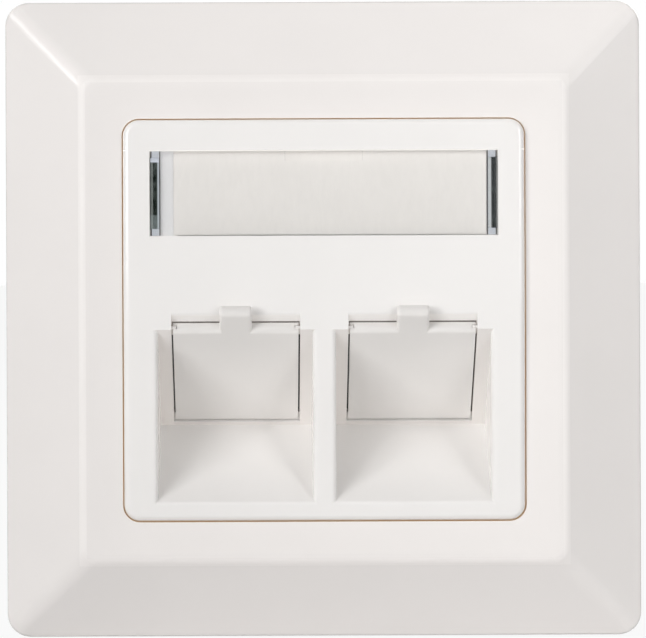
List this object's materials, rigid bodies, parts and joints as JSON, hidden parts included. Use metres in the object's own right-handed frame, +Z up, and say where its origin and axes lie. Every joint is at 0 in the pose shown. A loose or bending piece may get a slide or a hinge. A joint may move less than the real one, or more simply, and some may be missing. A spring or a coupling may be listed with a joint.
{
  "type": "keystone faceplate",
  "caption": "Square flush-mount data outlet cover with sloped jack recesses, sliding dust shutters, label window, support ring and snap-in jack carrier.",
  "frame": {"origin": "centre of the box-screw slots, on the wall plane at the support ring's back face", "axes": "+Z up with the label at the top, the front faces -Y, +X to the right seen from the front"},
  "size_m": [0.08, 0.0249, 0.08],
  "materials": {
    "frame_plastic": "glossy cream white",
    "plate_plastic": "glossy white",
    "shutter_plastic": "semi-gloss white",
    "clear_plastic": "clear polycarbonate",
    "card": "matte off-white card",
    "zinc_plated_steel": "zinc-plated sheet",
    "carrier_plastic": "dark grey moulding",
    "screw_steel": "bright zinc",
    "rivet_steel": "zinc-plated"
  },
  "bodies": {
    "faceplate": {"cover_frame": "frame_plastic", "centre_plate": "plate_plastic", "label_card": "card", "support_ring": "zinc_plated_steel", "module_carrier": "carrier_plastic", "centre_screw": "screw_steel", "rivet_upper_left": "rivet_steel", "rivet_upper_right": "rivet_steel", "rivet_lower_left": "rivet_steel", "rivet_lower_right": "rivet_steel"},
    "window": {"label_window": "clear_plastic"},
    "left_shutter": {"shutter_left": "shutter_plastic"},
    "right_shutter": {"shutter_right": "shutter_plastic"}
  },
  "joints": [
    {"name": "left_shutter_slide", "type": "slide", "parent": "faceplate", "child": "left_shutter", "axis": [0, -0.7071, 0.7071], "range_m": [0, 0.0142]},
    {"name": "right_shutter_slide", "type": "slide", "parent": "faceplate", "child": "right_shutter", "axis": [0, -0.7071, 0.7071], "range_m": [0, 0.0142]},
    {"name": "window_pull", "type": "slide", "parent": "faceplate", "child": "window", "axis": [0, -1, 0], "range_m": [0, 0.008]}
  ]
}
